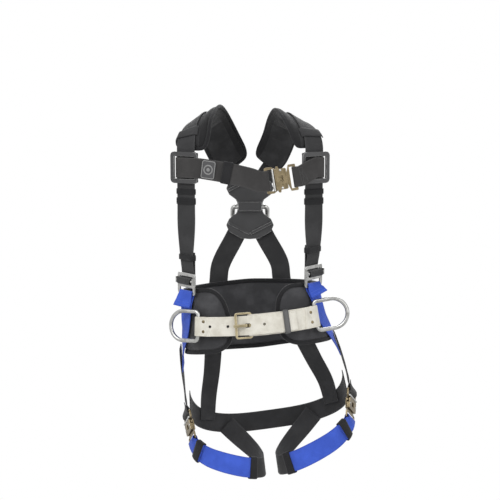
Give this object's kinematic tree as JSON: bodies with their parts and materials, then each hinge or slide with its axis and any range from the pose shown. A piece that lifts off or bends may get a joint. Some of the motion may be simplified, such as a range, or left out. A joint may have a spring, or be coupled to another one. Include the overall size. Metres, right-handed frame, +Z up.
{
  "type": "full body safety harness",
  "caption": "Full body fall-arrest harness with padded shoulders, sliding chest strap, padded waist belt with D-rings, leg loops and quick-connect buckles, shaped as worn.",
  "frame": {"origin": "on the wearer's upright axis at the height of the waist belt, inside the waist pad", "axes": "+Z up, -Y the way the wearer looks, +X to the wearer's left"},
  "size_m": [0.4291, 0.3367, 0.8499],
  "materials": {
    "black_webbing": "woven polyester webbing",
    "blue_webbing": "woven polyester webbing",
    "pad_fabric": "foam pad in woven cover",
    "black_elastic": "woven elastic",
    "cream_belting": "smooth belting",
    "moulded_black": "satin moulded nylon",
    "badge_grey": "satin flexible badge",
    "bright_steel": "bright plated forged steel",
    "yellow_zinc": "yellow zinc plated steel"
  },
  "bodies": {
    "harness": {"belt_buckle_frame": "yellow_zinc", "belt_buckle_half": "cream_belting", "belt_tongue_half": "cream_belting", "dorsal_plate": "moulded_black", "left_adjuster_frame": "bright_steel", "left_hip_strap": "blue_webbing", "left_leg_buckle_tab": "yellow_zinc", "left_leg_inner_sleeve": "black_elastic", "left_leg_outer_sleeve": "black_elastic", "left_leg_strap": "blue_webbing", "left_pad_band": "black_webbing", "left_rear_leg_strap": "black_webbing", "left_shoulder_pad": "pad_fabric", "left_shoulder_strap": "black_webbing", "left_thigh_strap": "black_webbing", "rear_belt": "black_webbing", "right_adjuster_frame": "bright_steel", "right_hip_strap": "blue_webbing", "right_leg_buckle_tab": "yellow_zinc", "right_leg_inner_sleeve": "black_elastic", "right_leg_outer_sleeve": "black_elastic", "right_leg_strap": "blue_webbing", "right_pad_band": "black_webbing", "right_rear_leg_strap": "black_webbing", "right_shoulder_pad": "pad_fabric", "right_shoulder_strap": "black_webbing", "right_thigh_strap": "black_webbing", "sub_pelvic_strap": "black_webbing", "waist_pad": "pad_fabric"},
    "chest_strap": {"left_chest_slider": "moulded_black", "right_chest_slider": "moulded_black", "left_upper_keeper": "black_elastic", "right_upper_keeper": "black_elastic", "left_mid_keeper": "black_elastic", "right_mid_keeper": "black_elastic", "chest_strap_long": "black_webbing", "chest_strap_short": "black_webbing", "chest_badge": "badge_grey", "chest_tail_keeper": "black_elastic", "chest_buckle_tab": "yellow_zinc"},
    "chest_housing": {"chest_buckle_housing": "yellow_zinc"},
    "chest_upper_lever": {"chest_buckle_upper_lever": "yellow_zinc"},
    "chest_lower_lever": {"chest_buckle_lower_lever": "yellow_zinc"},
    "left_leg_housing": {"left_leg_buckle_housing": "yellow_zinc"},
    "left_leg_upper_lever": {"left_leg_buckle_upper_lever": "yellow_zinc"},
    "left_leg_lower_lever": {"left_leg_buckle_lower_lever": "yellow_zinc"},
    "left_bar": {"left_adjuster_bar": "bright_steel"},
    "left_tail_loop": {"left_tail_keeper": "black_elastic"},
    "right_leg_housing": {"right_leg_buckle_housing": "yellow_zinc"},
    "right_leg_upper_lever": {"right_leg_buckle_upper_lever": "yellow_zinc"},
    "right_leg_lower_lever": {"right_leg_buckle_lower_lever": "yellow_zinc"},
    "right_bar": {"right_adjuster_bar": "bright_steel"},
    "right_tail_loop": {"right_tail_keeper": "black_elastic"},
    "dorsal_ring": {"dorsal_d_ring": "bright_steel"},
    "left_ring": {"left_hip_d_ring": "bright_steel"},
    "right_ring": {"right_hip_d_ring": "bright_steel"},
    "tongue": {"belt_tongue": "yellow_zinc"},
    "belt_loop": {"belt_keeper": "moulded_black"}
  },
  "joints": [
    {"name": "chest_height", "type": "slide", "parent": "harness", "child": "chest_strap", "axis": [0, -0.1483, 0.9889], "range_m": [-0.03, 0]},
    {"name": "chest_buckle_release", "type": "slide", "parent": "chest_strap", "child": "chest_housing", "axis": [-0.9828, -0.0995, -0.1557], "range_m": [0, 0.026], "deforming": ["chest_strap_long"]},
    {"name": "chest_upper_lever_press", "type": "hinge", "parent": "chest_housing", "child": "chest_upper_lever", "pos_m": [0.06499, -0.1503, 0.34016], "axis": [0.1007, -0.9949, 0.0002], "range_deg": [0, 7], "stiffness_Nm_per_rad": 0.05},
    {"name": "chest_lower_lever_press", "type": "hinge", "parent": "chest_housing", "child": "chest_lower_lever", "pos_m": [0.071, -0.1497, 0.30184], "axis": [-0.1007, 0.9949, -0.0002], "range_deg": [0, 7], "stiffness_Nm_per_rad": 0.05},
    {"name": "left_leg_buckle_release", "type": "slide", "parent": "harness", "child": "left_leg_housing", "axis": [0.0948, 0.4362, 0.8948], "range_m": [0, 0.026], "deforming": ["left_thigh_strap"]},
    {"name": "left_leg_upper_lever_press", "type": "hinge", "parent": "left_leg_housing", "child": "left_leg_upper_lever", "pos_m": [0.23727, -0.00247, -0.19837], "axis": [0.9282, -0.3636, 0.0789], "range_deg": [0, 7], "stiffness_Nm_per_rad": 0.05},
    {"name": "left_leg_lower_lever_press", "type": "hinge", "parent": "left_leg_housing", "child": "left_leg_lower_lever", "pos_m": [0.22331, -0.03441, -0.18132], "axis": [-0.9282, 0.3636, -0.0789], "range_deg": [0, 7], "stiffness_Nm_per_rad": 0.05},
    {"name": "left_adjuster_bar_slide", "type": "slide", "parent": "harness", "child": "left_bar", "axis": [0, 0.1557, -0.9878], "range_m": [0, 0.0025]},
    {"name": "left_tail_keeper_slide", "type": "slide", "parent": "harness", "child": "left_tail_loop", "axis": [0, -0.1557, 0.9878], "range_m": [-0.014, 0]},
    {"name": "right_leg_buckle_release", "type": "slide", "parent": "harness", "child": "right_leg_housing", "axis": [-0.2268, 0.4441, 0.8668], "range_m": [0, 0.026], "deforming": ["right_thigh_strap"]},
    {"name": "right_leg_upper_lever_press", "type": "hinge", "parent": "right_leg_housing", "child": "right_leg_upper_lever", "pos_m": [-0.13237, -0.03469, -0.23062], "axis": [-0.9445, -0.3174, -0.0844], "range_deg": [0, 7], "stiffness_Nm_per_rad": 0.05},
    {"name": "right_leg_lower_lever_press", "type": "hinge", "parent": "right_leg_housing", "child": "right_leg_lower_lever", "pos_m": [-0.14159, -0.00219, -0.24969], "axis": [0.9445, 0.3174, 0.0844], "range_deg": [0, 7], "stiffness_Nm_per_rad": 0.05},
    {"name": "right_adjuster_bar_slide", "type": "slide", "parent": "harness", "child": "right_bar", "axis": [0, 0.1416, -0.9899], "range_m": [0, 0.0025]},
    {"name": "right_tail_keeper_slide", "type": "slide", "parent": "harness", "child": "right_tail_loop", "axis": [0, -0.1416, 0.9899], "range_m": [-0.014, 0]},
    {"name": "dorsal_ring_swing", "type": "hinge", "parent": "harness", "child": "dorsal_ring", "pos_m": [0, 0.1254, 0.27], "axis": [1, 0, 0], "range_deg": [0, 96]},
    {"name": "left_ring_swing", "type": "hinge", "parent": "harness", "child": "left_ring", "pos_m": [0.14591, -0.09053, 0.01847], "axis": [0.1742, -0.0008, -0.9847], "range_deg": [-40, 90]},
    {"name": "right_ring_swing", "type": "hinge", "parent": "harness", "child": "right_ring", "pos_m": [-0.11524, -0.10164, -0.00361], "axis": [0.0204, 0.0096, 0.9997], "range_deg": [-3, 130]},
    {"name": "belt_tongue_lift", "type": "hinge", "parent": "harness", "child": "tongue", "pos_m": [0.00225, -0.13159, 0.00064], "axis": [-0.0717, 0.0375, 0.9967], "range_deg": [0, 30]},
    {"name": "belt_keeper_slide", "type": "slide", "parent": "harness", "child": "belt_loop", "axis": [0.9649, 0.2325, 0.1219], "range_m": [-0.008, 0.005]}
  ]
}
